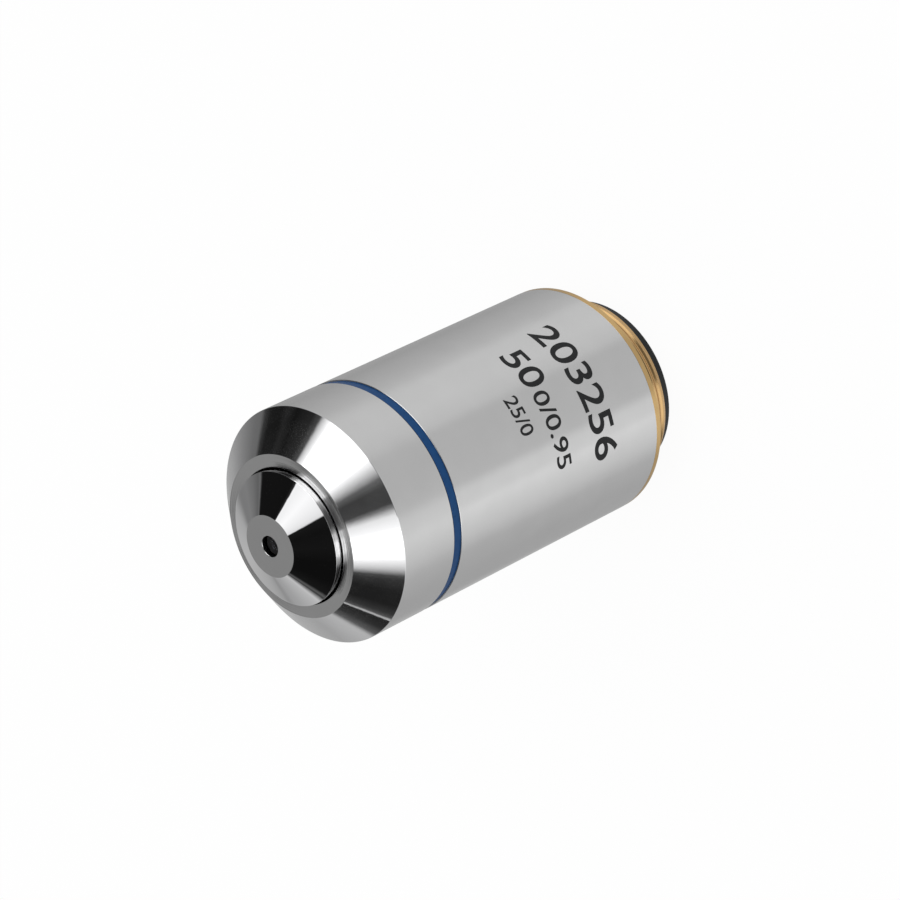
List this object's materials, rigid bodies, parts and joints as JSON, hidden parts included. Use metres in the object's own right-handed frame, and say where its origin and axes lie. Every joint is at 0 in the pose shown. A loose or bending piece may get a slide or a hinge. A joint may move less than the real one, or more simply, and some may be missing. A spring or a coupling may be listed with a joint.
{
  "type": "microscope objective",
  "caption": "Dry microscope objective: cylindrical metal barrel with conical polished front, spring-loaded retracting nose with a small front lens, and a screw thread at the rear.",
  "frame": {"origin": "centre of the rear end face, on the optical axis, where the part stands on its threaded end", "axes": "+Z along the optical axis, from the thread to the nose"},
  "size_m": [0.0244, 0.0244, 0.0486],
  "materials": {
    "polished_chrome": "mirror-polished chrome plate on turned brass",
    "nose_chrome": "mirror-polished chrome plate on turned brass",
    "satin_chrome": "satin chrome plate on turned brass",
    "band_enamel": "blue enamel",
    "mount_brass": "lacquered turned brass",
    "stop_black": "black anodised",
    "inner_brass": "turned brass",
    "inner_black": "matt black anodised",
    "shim_steel": "rolled steel strip",
    "spring_steel": "drawn spring wire",
    "screw_steel": "turned steel",
    "lens_glass": "polished and coated optical glass"
  },
  "bodies": {
    "housing": {"front_shroud": "polished_chrome", "colour_band": "band_enamel", "outer_sleeve": "satin_chrome", "mount_body": "mount_brass", "rear_stop": "stop_black", "parfocal_shim": "shim_steel", "guide_screw": "screw_steel", "return_spring": "spring_steel"},
    "lens_unit": {"nose_cone": "nose_chrome", "lens_barrel": "inner_brass", "meniscus_cell": "inner_brass", "front_doublet_cell": "inner_brass", "middle_doublet_cell": "inner_brass", "triplet_cell": "inner_brass", "aperture_stop": "inner_black", "spacer_tube": "inner_black", "rear_doublet_cell": "inner_brass", "stack_retainer": "inner_brass", "centring_screw_1": "screw_steel", "centring_screw_2": "screw_steel", "centring_screw_3": "screw_steel", "front_lens": "lens_glass", "meniscus_cell_lens_1": "lens_glass", "front_doublet_cell_lens_1": "lens_glass", "front_doublet_cell_lens_2": "lens_glass", "middle_doublet_cell_lens_1": "lens_glass", "middle_doublet_cell_lens_2": "lens_glass", "triplet_cell_lens_1": "lens_glass", "triplet_cell_lens_2": "lens_glass", "triplet_cell_lens_3": "lens_glass", "rear_doublet_cell_lens_1": "lens_glass", "rear_doublet_cell_lens_2": "lens_glass"}
  },
  "joints": [
    {"name": "nose_retract", "type": "slide", "parent": "housing", "child": "lens_unit", "axis": [0, 0, -1], "range_m": [0, 0.002], "stiffness_N_per_m": 700, "springref_m": -0.004, "deforming": ["return_spring"]}
  ]
}
